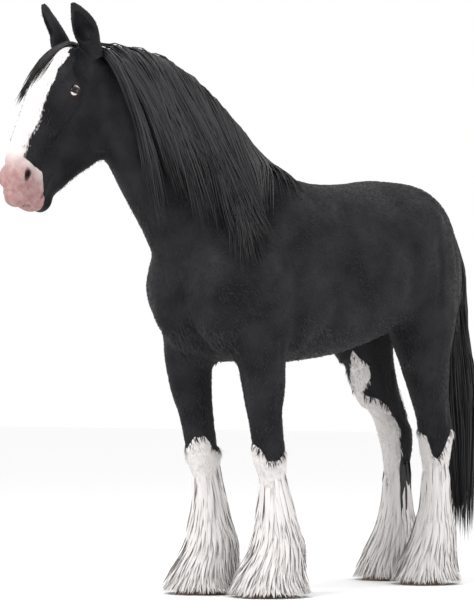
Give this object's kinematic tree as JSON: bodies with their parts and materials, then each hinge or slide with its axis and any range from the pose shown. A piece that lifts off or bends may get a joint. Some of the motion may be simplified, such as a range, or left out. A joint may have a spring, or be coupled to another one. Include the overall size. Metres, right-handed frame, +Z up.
{
  "type": "shire horse",
  "caption": "Life-size still model of a standing black shire horse with a white blaze, feathered legs, long mane and tail, head turned a little to its right.",
  "frame": {"origin": "middle of the footprint of the whole animal, on the floor under the hooves", "axes": "+X forward from tail to head, +Y to the animal's left, +Z up"},
  "size_m": [2.7698, 0.7636, 2.4487],
  "materials": {
    "black_coat": "short glossy black coat",
    "tail_hair": "long coarse black hair",
    "feather_hair": "long soft white leg hair",
    "eye": "glossy dark brown",
    "hoof_horn": "matt brown horn"
  },
  "bodies": {
    "root": {"torso": "black_coat", "neck": "black_coat", "head": "black_coat", "tail": "tail_hair", "ear_left": "black_coat", "ear_right": "black_coat", "eye_left": "eye", "eye_right": "eye", "fore_upper_left": "black_coat", "fore_lower_left": "feather_hair", "fore_hoof_left": "hoof_horn", "hind_upper_left": "black_coat", "hind_lower_left": "feather_hair", "hind_hoof_left": "hoof_horn", "fore_upper_right": "black_coat", "fore_lower_right": "feather_hair", "fore_hoof_right": "hoof_horn", "hind_upper_right": "black_coat", "hind_lower_right": "feather_hair", "hind_hoof_right": "hoof_horn"}
  },
  "joints": []
}
